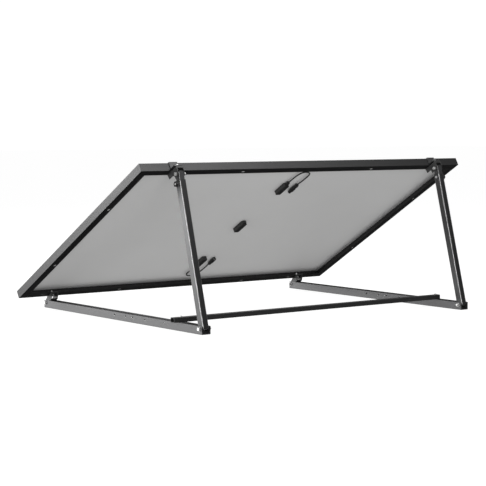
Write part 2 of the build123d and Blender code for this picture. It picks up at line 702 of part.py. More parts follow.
def knob():
    """Six-lobed knob with a blind bore."""
    radius, top = 12.0, 14.0
    body = cyl_z(radius, 4.0, top) + cyl_z(7.0, 0.1, 4.5)
    for i in range(6):
        body = body - Rot(0, 0, 60 * i + 30) * cyl_z(4.2, 3.9, top + 1, radius + 2.0, 0)
    body = fillet(body.faces().sort_by(Axis.Z)[-1].edges(), 1.2)
    return body - cyl_z(M6_R + 0.05, -1, top - 0.9)


# The clamp bolt's head is inboard; it passes both tubes and ends in the knob.
for name, shape in (
        ("leg_outer", leg_outer()),
        ("leg_collar", leg_collar()),
        ("leg_inner", leg_inner()),
        ("knob_bolt", facing_minus_x(-OUT_W / 2 - CLR, 0, KNOB_AT) * m6_bolt(OUT_W + 13.5)),
        ("knob_washer", facing_x(OUT_W / 2, 0, KNOB_AT)
         * ring(8.0, KNOB_BORE_R, 0.05, WASHER_T)),
        ("knob", facing_x(OUT_W / 2 + WASHER_T, 0, KNOB_AT) * knob())):
    save_pair(RIGHT_LEG * shape, name)
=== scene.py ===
# A framed solar panel on a tilting stand of rails, a cross bar and extending legs.
# Metres, +Z up, ground at z = 0. X runs along the panel's low and high edges, and +X is the
# stand's right. The panel rises towards +Y: its glass looks to -Y and up, its backsheet to
# +Y and down. The CAD pieces get their materials here; the cables and knobs are rebuilt.
import json
import math

import bmesh
import bpy
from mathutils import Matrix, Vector


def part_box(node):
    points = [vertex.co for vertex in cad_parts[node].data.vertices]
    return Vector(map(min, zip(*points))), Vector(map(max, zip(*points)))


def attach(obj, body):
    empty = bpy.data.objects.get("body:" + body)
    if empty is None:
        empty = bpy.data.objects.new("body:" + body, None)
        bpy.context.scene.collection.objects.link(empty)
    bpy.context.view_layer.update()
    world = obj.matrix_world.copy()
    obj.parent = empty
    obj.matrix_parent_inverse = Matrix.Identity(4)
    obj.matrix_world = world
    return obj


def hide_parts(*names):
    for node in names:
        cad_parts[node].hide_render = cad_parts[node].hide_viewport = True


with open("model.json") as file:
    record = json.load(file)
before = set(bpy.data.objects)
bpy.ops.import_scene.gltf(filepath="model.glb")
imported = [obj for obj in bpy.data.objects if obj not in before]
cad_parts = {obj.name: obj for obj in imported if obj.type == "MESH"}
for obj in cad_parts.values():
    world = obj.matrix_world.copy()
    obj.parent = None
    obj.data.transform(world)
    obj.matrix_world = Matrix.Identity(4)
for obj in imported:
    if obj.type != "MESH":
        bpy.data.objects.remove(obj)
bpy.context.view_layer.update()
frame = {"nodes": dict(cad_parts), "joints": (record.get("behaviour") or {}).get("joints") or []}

NODES = frame["nodes"]
JOINTS = {joint["name"]: joint for joint in frame["joints"]}


# ---- the panel's own axes ---------------------------------------------------------
def panel_slope():
    """Angle of the glass sheet's largest upward face."""
    faces = NODES["glass_sheet"].data.polygons
    normal = max(faces, key=lambda face: face.area * (face.normal.z > 0.3)).normal
    return math.atan2(-normal.y, normal.z)


SLOPE = panel_slope()
ACROSS = Vector((1, 0, 0))
UP_SLOPE = Vector((0, math.cos(SLOPE), math.sin(SLOPE)))
OUTWARD = Vector((0, -math.sin(SLOPE), math.cos(SLOPE)))


def panel_box(name):
    """(low, high) of a CAD piece across the panel, up its slope and along its normal."""
    spans = []
    for axis in (ACROSS, UP_SLOPE, OUTWARD):
        reach = [vertex.co.dot(axis) for vertex in NODES[name].data.vertices]
        spans.append((min(reach), max(reach)))
    return spans


def panel_point(across, up, out):
    return ACROSS * across + UP_SLOPE * up + OUTWARD * out


# ---- holes and slots --------------------------------------------------------------
PIVOT_Z = JOINTS["panel_tilt"]["pos_m"][2]
RAIL_HOLE_RADIUS = 0.00425
RAIL_CUT_REACH = 0.00455        # a little over the hole's radius, to take in its wall
SLOT_HALF_STRAIGHT = 0.0025     # half of a slot's straight part
SLOT_CUT_REACH = 0.0051         # from a slot's straight middle line to just past its wall
LONG_SLOT_INSET = 0.022         # slots of the top and bottom bars, in from the outer edge
LONG_SLOT_X = 0.350
SIDE_SLOT_INSET = 0.023         # slots of the side bars, in from the outer edge
SIDE_SLOT_OFFSET = 0.249        # up and down the slope from the panel's middle


def hole_rows(name):
    """Y of each cross hole in a rail, from the vertices at the top of the hole rims."""
    rim_z = PIVOT_Z + RAIL_HOLE_RADIUS
    rim_depth, same_hole = 0.0002, 0.01
    rows = []
    for y in sorted(vertex.co.y for vertex in NODES[name].data.vertices
                    if abs(vertex.co.z - rim_z) < rim_depth):
        if not rows or y - rows[-1][-1] > same_hole:
            rows.append([y])
        else:
            rows[-1].append(y)
    return [sum(row) / len(row) for row in rows]


RAIL_HOLES = hole_rows("rail_right")
(_, FRAME_RIGHT), (FRAME_LOW, _), _ = panel_box("frame_bottom")
FRAME_HIGH = panel_box("frame_top")[1][1]
FRAME_MIDDLE = (FRAME_LOW + FRAME_HIGH) / 2
# Slot centres as (across, up the slope)
LONG_SLOTS = [(across, up)
              for up in (FRAME_LOW + LONG_SLOT_INSET, FRAME_HIGH - LONG_SLOT_INSET)
              for across in (-LONG_SLOT_X, LONG_SLOT_X)]
SIDE_SLOTS = [(side * (FRAME_RIGHT - SIDE_SLOT_INSET), FRAME_MIDDLE + offset)
              for side in (-1, 1) for offset in (-SIDE_SLOT_OFFSET, SIDE_SLOT_OFFSET)]


# ---- shader graph -----------------------------------------------------------------
class Graph:
    """A node tree being built. Sources are sockets or plain values."""

    def __init__(self, tree, output_kind):
        self.tree = tree
        tree.nodes.clear()
        self.output = self.add(output_kind)

    def feed(self, socket, source):
        if isinstance(source, bpy.types.NodeSocket):
            self.tree.links.new(source, socket)
        else:
            socket.default_value = source

    def add(self, kind, inputs=None, **settings):
        node = self.tree.nodes.new("ShaderNode" + kind)
        for key, setting in settings.items():
            setattr(node, key, setting)
        for key, source in (inputs or {}).items():
            self.feed(node.inputs[key], source)
        return node

    def finish(self, source):
        self.feed(self.output.inputs[0], source)

    def surface(self, inputs):
        """Set inputs of the material's principled shader."""
        for key, source in inputs.items():
            self.feed(self.principled.inputs[key], source)

    # arithmetic
    def calc(self, operation, first, second=None, clamp=False):
        inputs = {i: x for i, x in enumerate((first, second)) if x is not None}
        return self.add("Math", inputs, operation=operation, use_clamp=clamp).outputs[0]

    def times(self, source, by, clamp=False):
        return self.calc("MULTIPLY", source, by, clamp)

    def plus(self, base, extra):
        return self.calc("ADD", base, extra)

    def minus(self, source, less, clamp=False):
        return self.calc("SUBTRACT", source, less, clamp)

    def vary(self, base, pattern, amount):
        """base + pattern * amount"""
        return self.plus(base, self.times(pattern, by=amount))

    def dot(self, first, second):
        node = self.add("VectorMath", {0: first, 1: second}, operation="DOT_PRODUCT")
        return node.outputs["Value"]

    def facing(self, vector, direction, power):
        """1 where a vector points along a direction, falling to 0 at right angles."""
        return self.calc("POWER", self.calc("MAXIMUM", self.dot(vector, direction), 0.0), power)

    def axes(self, vector):
        return self.add("SeparateXYZ", {0: vector}).outputs

    # patterns
    def coords(self, turn=(0, 0, 0), scale=(1, 1, 1), shift=(0, 0, 0)):
        """Object coordinates, turned first and then scaled and shifted."""
        place = self.add("TexCoord").outputs["Object"]
        turned = self.add("Mapping", {"Vector": place, "Rotation": turn}).outputs["Vector"]
        inputs = {"Vector": turned, "Scale": scale, "Location": shift}
        return self.add("Mapping", inputs).outputs["Vector"]

    def noise(self, coords, scale, detail, rough, distortion=0.0):
        inputs = {"Vector": coords, "Scale": scale, "Detail": detail,
                  "Roughness": rough, "Distortion": distortion}
        return self.add("TexNoise", inputs).outputs["Fac"]

    def ramp(self, source, start, full):
        """Black up to start, white from full on."""
        node = self.add("ValToRGB", {"Fac": source})
        black, white = node.color_ramp.elements
        black.position, white.position = start, full
        black.color, white.color = grey(0), grey(1)
        return node.outputs["Color"]

    def patches(self, coords, scale, start, full):
        """Ragged patches cut out of a fine-edged noise."""
        return self.ramp(self.noise(coords, scale=scale, detail=4.0, rough=0.7), start, full)

    def lines(self, position, pitch, half_width):
        """1 on lines a pitch apart; half_width is a share of the pitch."""
        phase = self.calc("FRACT", self.times(position, by=1.0 / pitch))
        return self.calc("LESS_THAN", self.calc("ABSOLUTE", self.minus(phase, 0.5)), half_width)

    def cut_mask(self, offsets, reach):
        """1 within reach of the nearest centre; offsets are pairs of squared distances."""
        nearest = None
        for first, second in offsets:
            distance = self.calc("SQRT", self.plus(first, second))
            if nearest is not None:
                distance = self.calc("MINIMUM", nearest, distance)
            nearest = distance
        return self.calc("LESS_THAN", nearest, reach)

    # colour, relief and shaders
    def mix(self, amount, under, over):
        inputs = {0: amount, 6: under, 7: over}
        return self.add("Mix", inputs, data_type="RGBA").outputs[2]

    def mix_shader(self, amount, under, over):
        return self.add("MixShader", {0: amount, 1: under, 2: over}).outputs[0]

    def bump(self, height, strength, distance, normal=None):
        inputs = {"Strength": strength, "Distance": distance, "Height": height}
        if normal is not None:
            inputs["Normal"] = normal
        return self.add("Bump", inputs).outputs["Normal"]

    def bevel(self, radius):
        return self.add("Bevel", {"Radius": radius}, samples=4).outputs["Normal"]

    def true_normal(self):
        return self.add("NewGeometry").outputs["True Normal"]

    def edge_mask(self, rounded, gain):
        """1 on edges, 0 on flats: how far the bevelled normal leaves the true one."""
        away = self.minus(1.0, self.dot(rounded, self.true_normal()), clamp=True)
        return self.times(away, by=gain, clamp=True)


def new_material(name):
    material = bpy.data.materials.new(name)
    material.use_nodes = True
    graph = Graph(material.node_tree, "OutputMaterial")
    graph.principled = graph.add("BsdfPrincipled")
    graph.finish(graph.principled.outputs[0])
    return material, graph


def grey(level):
    return (level, level, level, 1.0)


# ---- metals -----------------------------------------------------------------------
def turn_to_x(direction):
    """Euler that turns a direction onto +X, for the extrusion grain."""
    return tuple(Vector(direction).rotation_difference(Vector((1, 0, 0))).to_euler())


LEG_AXIS = JOINTS["leg_extend_right"]["axis"]
LEAN = math.atan2(-LEG_AXIS[1], LEG_AXIS[2])
ALONG_X = (0, 0, 0)
ALONG_RAIL = turn_to_x((0, 1, 0))
ALONG_LEG = turn_to_x((0, -math.sin(LEAN), math.cos(LEAN)))
ALONG_SLOPE = turn_to_x(UP_SLOPE)
TO_PANEL = (-SLOPE, 0, 0)       # world to (across, up the slope, outward)


def rail_cuts(g):
    """1 on the walls of the rail's cross holes."""
    _, y, z = g.axes(g.add("TexCoord").outputs["Object"])
    height = g.minus(z, PIVOT_Z)
    height_squared = g.times(height, by=height)
    offsets = []
    for hole_y in RAIL_HOLES:
        along = g.minus(y, hole_y)
        offsets.append((g.times(along, by=along), height_squared))
    return g.cut_mask(offsets, reach=RAIL_CUT_REACH)


def slot_cuts(centres, long_axis):
    """Mask of the slot walls in a frame flange; long_axis is 0 across, 1 up the slope."""
    def mask(g):
        place = g.axes(g.coords(TO_PANEL))
        offsets = []
        for centre in centres:
            squares = []
            for axis in (0, 1):
                offset = g.calc("ABSOLUTE", g.minus(place[axis], centre[axis]))
                if axis == long_axis:
                    offset = g.calc("MAXIMUM", g.minus(offset, SLOT_HALF_STRAIGHT), 0.0)
                squares.append(g.times(offset, by=offset))
            offsets.append(squares)
        return g.cut_mask(offsets, reach=SLOT_CUT_REACH)
    return mask


def anodised(name, base, rough, turn, seed, wear, metal=0.5, edge=0.0008, corner_highlight=0.0, cuts=None):
    """Extruded, satin anodised aluminium. turn lays the extrusion's length on X.

    wear pales the edges, corner paints a pale highlight down rounded corners, cuts masks bright
    cut metal."""
    material, g = new_material(name)
    shift = (seed, seed * 1.7, seed * 0.6)
    fine = g.coords(turn, shift=shift)
    soft = g.coords(turn, scale=(2.0, 9.0, 9.0), shift=shift)
    drawn = g.coords(turn, scale=(3.0, 900.0, 900.0), shift=shift)
    scratched = g.coords(turn, scale=(14.0, 260.0, 260.0), shift=shift)
    streak = g.noise(drawn, scale=1.0, detail=3.0, rough=0.6)
    cloud = g.noise(soft, scale=1.6, detail=4.0, rough=0.55, distortion=0.3)
    speck = g.noise(fine, scale=1400.0, detail=2.0, rough=0.6)
    scuffs = g.noise(scratched, scale=1.0, detail=4.0, rough=0.7, distortion=0.6)
    rounded = g.bevel(edge)

    # faintly blue grey, darker and lighter by streak and cloud
    dark, light = [(level, level, level * 1.02, 1) for level in (base, base * 1.28)]
    tone = g.vary(base=g.times(streak, by=0.45), pattern=cloud, amount=0.55)
    colour = g.mix(tone, dark, light)
    broken = g.plus(base=0.35, extra=g.noise(fine, scale=60.0, detail=3.0, rough=0.65))
    worn = g.times(g.edge_mask(rounded, gain=2.2), by=broken, clamp=True)
    colour = g.mix(g.times(worn, by=wear, clamp=True), colour, over=grey(0.45))
    if corner_highlight:
        # painted highlight: rounded corners, where the normal lies between two faces, are
        # painted pale in a broken band
        normal_x = g.axes(g.true_normal())[0]
        squared = g.times(normal_x, by=normal_x)
        between = g.calc("SQRT", g.times(squared, by=g.minus(1.0, squared), clamp=True))
        uneven = g.noise(soft, scale=9.0, detail=4.0, rough=0.7)
        rub_and_highlight = g.times(g.times(between, by=2.0, clamp=True),
                      by=g.vary(base=0.55, pattern=uneven, amount=0.6), clamp=True)
        colour = g.mix(g.times(rub_and_highlight, by=corner_highlight), colour, over=grey(0.60))
    scuffed = g.times(g.ramp(scuffs, start=0.66, full=0.74), by=0.12)
    colour = g.mix(scuffed, colour, over=grey(0.22))
    g.surface({"Metallic": metal, "IOR": 1.7})
    if cuts is not None:
        # cut after anodising, so the metal of each hole is bright
        cut = cuts(g)
        colour = g.mix(cut, colour, over=grey(0.72))
        g.surface({"Metallic": g.calc("MAXIMUM", cut, metal)})

    matt = g.vary(base=rough - 0.08, pattern=cloud, amount=0.14)
    matt = g.vary(base=matt, pattern=speck, amount=0.06)
    grain = g.bump(streak, strength=0.10, distance=0.0004, normal=rounded)
    g.surface({
        "Base Color": colour,
        "Roughness": g.minus(matt, g.times(worn, by=0.10), clamp=True),
        "Normal": g.bump(speck, strength=0.12, distance=0.00012, normal=grain),
    })
    return material


def coated(name, base, rough, edge, seed):
    """Powder coat: fine orange peel, lighter rubbed edges."""
    material, g = new_material(name)
    place = g.coords(shift=(seed, seed, seed))
    peel = g.noise(place, scale=900.0, detail=2.0, rough=0.5)
    cloud = g.noise(place, scale=35.0, detail=3.0, rough=0.6)
    rounded = g.bevel(edge)
    rub_and_highlight = g.times(g.edge_mask(rounded, gain=2.5),
                  by=g.patches(place, scale=240.0, start=0.45, full=0.68), clamp=True)
    colour = g.mix(cloud, grey(base * 0.8), grey(base * 1.3))
    g.surface({
        "Base Color": g.mix(g.times(rub_and_highlight, by=0.55), colour, over=grey(0.34)),
        "Metallic": g.times(rub_and_highlight, by=0.7),
        "Roughness": g.vary(base=rough - 0.06, pattern=cloud, amount=0.14),
        "Coat Weight": 0.15,
        "Coat Roughness": 0.25,
        "Normal": g.bump(peel, strength=0.22, distance=0.0002, normal=rounded),
    })
    return material


def bright_metal(name, base, rough, edge, seed, coat=0.0):
    """Stainless or tinned metal with fine turning marks and patches of grime."""
    material, g = new_material(name)
    place = g.coords(shift=(seed, 0, seed))
    marks = g.noise(g.coords(scale=(1500.0, 60.0, 60.0)), scale=1.0, detail=2.0, rough=0.6)
    cloud = g.noise(place, scale=180.0, detail=3.0, rough=0.6)
    colour = g.mix(cloud, (base * 0.86, base * 0.86, base * 0.87, 1),
                   (base * 1.1, base * 1.1, base * 1.08, 1))
    grime = g.patches(place, scale=320.0, start=0.58, full=0.72)
    g.surface({
        "Base Color": g.mix(g.times(grime, by=0.25), colour, over=grey(0.22)),
        "Metallic": 0.72,
        "Roughness": g.vary(base=rough - 0.05, pattern=cloud, amount=0.16),
        "Coat Weight": coat,
        "Normal": g.bump(marks, strength=0.10, distance=0.00015, normal=g.bevel(edge)),
    })
    return material


def tinned_ribbon(name):
    material, g = new_material(name)
    cloud = g.noise(g.coords(TO_PANEL), scale=400.0, detail=3.0, rough=0.6)
    g.surface({
        "Base Color": g.mix(cloud, (0.62, 0.62, 0.61, 1), (0.85, 0.85, 0.84, 1)),
        "Metallic": 1.0,
        "Roughness": g.vary(base=0.22, pattern=cloud, amount=0.2),
        "Normal": g.bump(cloud, strength=0.2, distance=0.0001),
    })
    return material


# ---- plastics ---------------------------------------------------------------------
def moulded(name, base, rough, seed, edge=0.0006, grain=1260.0):
    """Spark-eroded moulded plastic with a little dust."""
    material, g = new_material(name)
    place = g.coords(shift=(seed, seed * 2, 0))
    sparks = g.noise(place, scale=grain, detail=2.0, rough=0.6)
    cloud = g.noise(place, scale=30.0, detail=3.0, rough=0.6)
    rounded = g.bevel(edge)
    colour = g.mix(cloud, grey(base * 0.78), grey(base * 1.30))
    pale_edges = g.times(g.edge_mask(rounded, gain=2.0), by=0.30)
    colour = g.mix(pale_edges, colour, over=grey(base * 3.0))
    dust = g.patches(place, scale=95.0, start=0.55, full=0.8)
    g.surface({
        "Base Color": g.mix(g.times(dust, by=0.10), colour, over=(0.30, 0.29, 0.27, 1)),
        "Roughness": g.vary(base=rough - 0.07, pattern=cloud, amount=0.16),
        "Normal": g.bump(sparks, strength=0.25, distance=0.00012, normal=rounded),
    })
    return material


def cable_jacket(name):
    material, g = new_material(name)
    place = g.coords()
    grain = g.noise(place, scale=1600.0, detail=3.0, rough=0.6)
    cloud = g.noise(place, scale=45.0, detail=3.0, rough=0.6)
    dust = g.patches(place, scale=130.0, start=0.5, full=0.85)
    colour = g.mix(cloud, grey(0.018), grey(0.036))
    g.surface({
        "Base Color": g.mix(g.times(dust, by=0.14), colour, over=(0.25, 0.24, 0.22, 1)),
        "Roughness": g.vary(base=0.42, pattern=cloud, amount=0.18),
        "Sheen Weight": 0.08,
        "Normal": g.bump(grain, strength=0.3, distance=0.00015),
    })
    return material


# ---- panel layers -----------------------------------------------------------------
FINGER_PITCH = 0.0014
WIRE_PITCH = 0.02
CELL_PITCH = (0.0926, 0.184)    # across the panel, up the slope


def silicon(name):
    """Half-cut cells: blue-black, each its own tone, with fine silver fingers up the slope."""
    material, g = new_material(name)
    place = g.coords(TO_PANEL)
    finger = g.lines(g.axes(place)[0], FINGER_PITCH, half_width=0.045)
    cells = g.coords(TO_PANEL, scale=(1 / CELL_PITCH[0], 1 / CELL_PITCH[1], 0.0))
    cell = g.add("VectorMath", {0: cells}, operation="FLOOR").outputs[0]
    cell_tone = g.add("TexWhiteNoise", noise_dimensions="2D")
    g.feed(cell_tone.inputs["Vector"], cell)
    cloud = g.noise(place, scale=9.0, detail=3.0, rough=0.5)
    tone = g.vary(base=g.times(cell_tone.outputs["Value"], by=0.5), pattern=cloud, amount=0.5)
    colour = g.mix(tone, (0.0045, 0.0065, 0.016, 1), (0.009, 0.014, 0.034, 1))
    grain = g.noise(place, scale=2500.0, detail=2.0, rough=0.5)
    g.surface({
        "Base Color": g.mix(g.times(finger, by=0.35), colour, over=(0.32, 0.33, 0.35, 1)),
        "IOR": 1.8,
        "Roughness": g.vary(base=0.24, pattern=cloud, amount=0.12),
        "Coat Weight": 0.3,
        "Coat Tint": (0.45, 0.55, 1.0, 1),
        "Normal": g.bump(grain, strength=0.15, distance=0.00005),
    })
    return material


def clear_film(name):
    """Clear film with a faint sheen and haze."""
    material, g = new_material(name)
    cloud = g.noise(g.coords(TO_PANEL), scale=30.0, detail=3.0, rough=0.5)
    g.surface({
        "Base Color": g.mix(cloud, (0.80, 0.82, 0.82, 1), (0.9, 0.92, 0.92, 1)),
        "Roughness": g.vary(base=0.25, pattern=cloud, amount=0.2),
        "Normal": g.bump(cloud, strength=0.05, distance=0.0001),
    })
    clear = g.add("BsdfTransparent", {0: (0.985, 0.99, 0.985, 1)}).outputs[0]
    g.finish(g.mix_shader(amount=0.02, under=clear, over=g.principled.outputs[0]))
    return material


def solar_glass(name):
    """Low-iron glass: clear head-on, brighter at grazing angles, with a trace of dust."""
    material, g = new_material(name)
    place = g.coords(TO_PANEL)
    prism = g.noise(place, scale=1500.0, detail=2.0, rough=0.5)
    cloud = g.noise(place, scale=3.0, detail=4.0, rough=0.6)
    dust = g.ramp(g.noise(place, scale=14.0, detail=5.0, rough=0.7), start=0.45, full=0.85)
    g.surface({
        "Base Color": g.mix(cloud, (0.02, 0.028, 0.03, 1), (0.035, 0.045, 0.048, 1)),
        "Roughness": g.vary(base=0.07, pattern=cloud, amount=0.07),
        "Normal": g.bump(prism, strength=0.10, distance=0.0001),
    })
    clear = g.add("BsdfTransparent", {0: (0.955, 0.975, 0.965, 1)}).outputs[0]
    glossy = g.add("BsdfGlossy", {
        "Roughness": g.vary(base=0.06, pattern=cloud, amount=0.06),
        "Color": (0.9, 0.95, 1.0, 1),
        "Normal": g.bump(prism, strength=0.10, distance=0.0001),
    }).outputs[0]
    fresnel = g.add("Fresnel", {"IOR": 1.33}).outputs[0]
    sheet = g.mix_shader(g.times(fresnel, by=0.8), clear, glossy)
    haze = g.vary(base=0.01, pattern=dust, amount=0.02)
    g.finish(g.mix_shader(haze, sheet, g.principled.outputs[0]))
    return material


def backsheet_film(name):
    """White polymer: fine embossing, wire lines faintly showing through, light soiling."""
    material, g = new_material(name)
    place = g.coords(TO_PANEL)
    cloud = g.noise(place, scale=2.2, detail=4.0, rough=0.55, distortion=0.2)
    weave = g.noise(place, scale=1100.0, detail=2.0, rough=0.5)
    colour = g.mix(cloud, (0.76, 0.76, 0.755, 1), (0.83, 0.83, 0.825, 1))
    soil = g.patches(place, scale=160.0, start=0.62, full=0.8)
    keep_positive = 10.0
    wires = g.lines(g.plus(g.axes(place)[1], keep_positive), WIRE_PITCH, half_width=0.04)
    relief = g.bump(wires, strength=0.08, distance=0.0001)
    relief = g.bump(weave, strength=0.22, distance=0.0001, normal=relief)
    g.surface({
        "Base Color": g.mix(g.times(soil, by=0.12), colour, over=(0.42, 0.41, 0.39, 1)),
        "Roughness": g.vary(base=0.46, pattern=cloud, amount=0.14),
        "Specular IOR Level": 0.35,
        "Normal": g.bump(cloud, strength=0.25, distance=0.002, normal=relief),
    })
    return material


# ---- materials onto the CAD pieces ------------------------------------------------
def dress(material, *names):
    """Put a material in every slot of the named CAD pieces."""
    for name in names:
        piece = NODES[name]
        if not piece.material_slots:
            piece.data.materials.append(material)
        for slot in piece.material_slots:
            slot.material = material
    return material


def sides(name):
    return name + "_right", name + "_left"


dress(anodised("rail_anodised", base=0.105, rough=0.36, turn=ALONG_RAIL, seed=1.3, wear=0.45,
               cuts=rail_cuts), *sides("rail"))
dress(anodised("bar_anodised", base=0.05, rough=0.38, turn=ALONG_X, seed=3.1, wear=0.45),
      "cross_bar")
# The legs' rounded tube corners carry a painted highlight.
dress(anodised("leg_anodised", base=0.076, rough=0.32, turn=ALONG_LEG, seed=5.7, wear=0.6,
               metal=0.75, edge=0.0012, corner_highlight=0.95), *sides("leg_outer"))
dress(anodised("inner_leg_anodised", base=0.07, rough=0.34, turn=ALONG_LEG, seed=8.2, wear=0.7,
               corner_highlight=0.45), *sides("leg_inner"))
dress(anodised("frame_anodised_long", base=0.026, rough=0.38, turn=ALONG_X, seed=2.4, wear=0.25,
               edge=0.0006, cuts=slot_cuts(LONG_SLOTS, long_axis=0)),
      "frame_top", "frame_bottom")
dress(anodised("frame_anodised_short", base=0.027, rough=0.38, turn=ALONG_SLOPE, seed=6.6,
               wear=0.25, edge=0.0006, cuts=slot_cuts(SIDE_SLOTS, long_axis=1)),
      *sides("frame_side"))
dress(anodised("corner_key", base=0.55, rough=0.5, turn=ALONG_X, seed=4.0, wear=0.2, metal=1.0),
      "corner_keys")
dress(coated("bracket_coated", base=0.045, rough=0.42, edge=0.0006, seed=1.0),
      *sides("hinge_bracket"), *sides("clamp_body"))
dress(anodised("jaw_anodised", base=0.06, rough=0.38, turn=ALONG_X, seed=9.4, wear=0.5),
      *sides("clamp_jaw"))
STEEL = dress(
    bright_metal("stainless_fastener", base=0.88, rough=0.32, edge=0.0004, seed=0.0),
    "pivot_bolts", "pivot_lock_nuts", "pivot_washers", "hinge_bracket_bolts", "clamp_bolts",
    "clamp_jam_nuts", "top_pivot_bolts", "panel_lock_nuts", "cross_bar_bolts",
    "cross_bar_weld_nuts", *sides("knob_bolt"), *sides("knob_washer"))
dress(moulded("nylon_black", base=0.03, rough=0.45, seed=2.0), "front_pivot_spacers",
      "rear_pivot_spacers", "top_pivot_spacers", *sides("leg_collar"))
dress(moulded("box_plastic", base=0.028, rough=0.48, seed=3.0),
      *[f"junction_box_{part}_{place}" for part in ("base", "lid")
        for place in ("upper", "middle", "lower")])
dress(moulded("connector_plastic", base=0.024, rough=0.42, seed=4.0),
      "connector_plug", "connector_socket", "cable_gland_nuts")
KNOB_PLASTIC = dress(moulded("knob_plastic", base=0.011, rough=0.40, seed=5.0, edge=0.0010),
                     *sides("knob"))
dress(moulded("sealant_silicone", base=0.02, rough=0.6, seed=6.0, grain=360.0),
      "edge_sealant", "junction_box_adhesive")
dress(moulded("diode_epoxy", base=0.02, rough=0.35, seed=7.0), "bypass_diodes")
dress(bright_metal("contact_tinned", base=0.78, rough=0.20, edge=0.0002, seed=3.0, coat=0.2),
      "connector_contacts")
dress(tinned_ribbon("ribbon_tinned"), "cell_ribbons")
dress(silicon("cell_silicon"), "solar_cells")
dress(clear_film("encapsulant_clear"), "front_encapsulant", "rear_encapsulant")
dress(solar_glass("solar_glass"), "glass_sheet")
dress(backsheet_film("backsheet_film"), "backsheet")
CABLE_JACKET = cable_jacket("cable_jacket")


# ---- mesh helpers -----------------------------------------------------------------
def mesh_object(name, bm, material, smooth=True):
    mesh = bpy.data.meshes.new(name)
    bm.to_mesh(mesh)
    bm.free()
    for face in mesh.polygons:
        face.use_smooth = smooth
    piece = bpy.data.objects.new(name, mesh)
    bpy.context.scene.collection.objects.link(piece)
    piece.data.materials.append(material)
    return piece


def loft(name, outlines, material, first_cap=-1):
    """Skin a row of closed outlines and cap both ends; first_cap (0 or -1) sets face order."""
    bm = bmesh.new()
    rings = [[bm.verts.new(point) for point in outline] for outline in outlines]
    count = len(rings[0])
    for near, far in zip(rings, rings[1:]):
        for k in range(count):
            after = (k + 1) % count
            bm.faces.new((near[k], near[after], far[after], far[k]))
    caps = [rings[0][::-1], rings[-1]]
    bm.faces.new(caps[first_cap])
    bm.faces.new(caps[-1 - first_cap])
    bmesh.ops.recalc_face_normals(bm, faces=bm.faces)
    return mesh_object(name, bm, material)


# ---- cables -----------------------------------------------------------------------
CABLE_RADIUS = 0.003
CABLE_SKIN = 0.995      # share of the radius that is drawn
CABLE_SIDES = 20
CABLE_WOBBLE = 0.006    # share of the radius by which the jacket runs out of round
STEPS_PER_SPAN = 14

# Each loop runs from a junction box's gland to its connector. Columns: place across the
# packed cable's extent (None is the box's middle), place along it, step outward in metres.
UPPER_LOOP = [
    (None, 0.1364, 0.0), (None, 0.2652, 0.0), (None, 0.3712, 0.0),
    (0.9632, 0.75, -0.001), (0.8456, 0.9318, -0.002), (0.6324, 1.0, -0.002),
    (0.3382, 0.9773, -0.002), (0.0882, 0.8712, -0.0015), (0.0, 0.6894, -0.001),
    (0.0368, 0.3712, -0.001), (0.0735, 0.2273, -0.001), (0.0735, 0.1136, -0.001),
    (0.0735, 0.0, -0.001),
]
LOWER_LOOP = [
    (None, 0.1808, 0.0), (None, 0.2915, 0.0), (None, 0.3948, 0.0),
    (0.9375, 0.5867, -0.001), (1.0, 0.7786, -0.002), (0.8681, 0.9336, -0.002),
    (0.5903, 1.0, -0.002), (0.2708, 0.9557, -0.0015), (0.0625, 0.7786, -0.001),
    (0.0, 0.4686, -0.001), (0.0069, 0.2214, -0.001), (0.0069, 0.1107, -0.001),
    (0.0069, 0.0, -0.001),
]


def smooth_path(points):
    """Catmull-Rom curve through the points."""
    padded = [points[0] + (points[0] - points[1])] + points
    padded.append(points[-1] + (points[-1] - points[-2]))
    path = []
    for a, b, c, d in zip(padded, padded[1:], padded[2:], padded[3:]):
        for k in range(STEPS_PER_SPAN):
            t = k / STEPS_PER_SPAN
            path.append(0.5 * ((2 * b) + (c - a) * t + (2 * a - 5 * b + 4 * c - d) * t * t
                               + (3 * b - a - 3 * c + d) * t ** 3))
    path.append(points[-1])
    return path


def tube(name, path, radius, material):
    """Slightly out-of-round tube along a path."""
    outlines = []
    for i, centre in enumerate(path):
        tangent = (path[min(i + 1, len(path) - 1)] - path[max(i - 1, 0)]).normalized()
        side = tangent.cross(OUTWARD).normalized()
        rise = side.cross(tangent).normalized()
        outline = []
        for k in range(CABLE_SIDES):
            angle = 2 * math.pi * k / CABLE_SIDES
            reach = radius * (1 + CABLE_WOBBLE * math.sin(3 * angle + i * 0.21))
            outline.append(centre + side * math.cos(angle) * reach
                           + rise * math.sin(angle) * reach)
        outlines.append(outline)
    return loft(name, outlines, material, first_cap=0)


def cable(place, climbs, loop):
    """Cable of the upper or lower box; climbs says whether it leaves the gland up-slope."""
    cad = "cable_" + place
    (left, right), (low, high), (_, outer) = panel_box(cad)
    box_left, box_right = panel_box("junction_box_base_" + place)[0]
    left, right = left + CABLE_RADIUS, right - CABLE_RADIUS
    start, end = (low, high - CABLE_RADIUS) if climbs else (high, low + CABLE_RADIUS)
    box_middle = ((box_left + box_right) / 2 - left) / (right - left)
    points = [panel_point(left + (box_middle if across is None else across) * (right - left),
                          start + along * (end - start),
                          outer - CABLE_RADIUS + step)
              for across, along, step in loop]
    jacket = tube(cad + "_jacket", smooth_path(points), CABLE_RADIUS * CABLE_SKIN, CABLE_JACKET)
    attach(jacket, "panel")
    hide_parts(cad)


cable("upper", True, UPPER_LOOP)
cable("lower", False, LOWER_LOOP)

# ---- clamping knobs ---------------------------------------------------------------
KNOB_LOBES = 6
KNOB_FIT = 0.995    # share of the CAD knob's radius
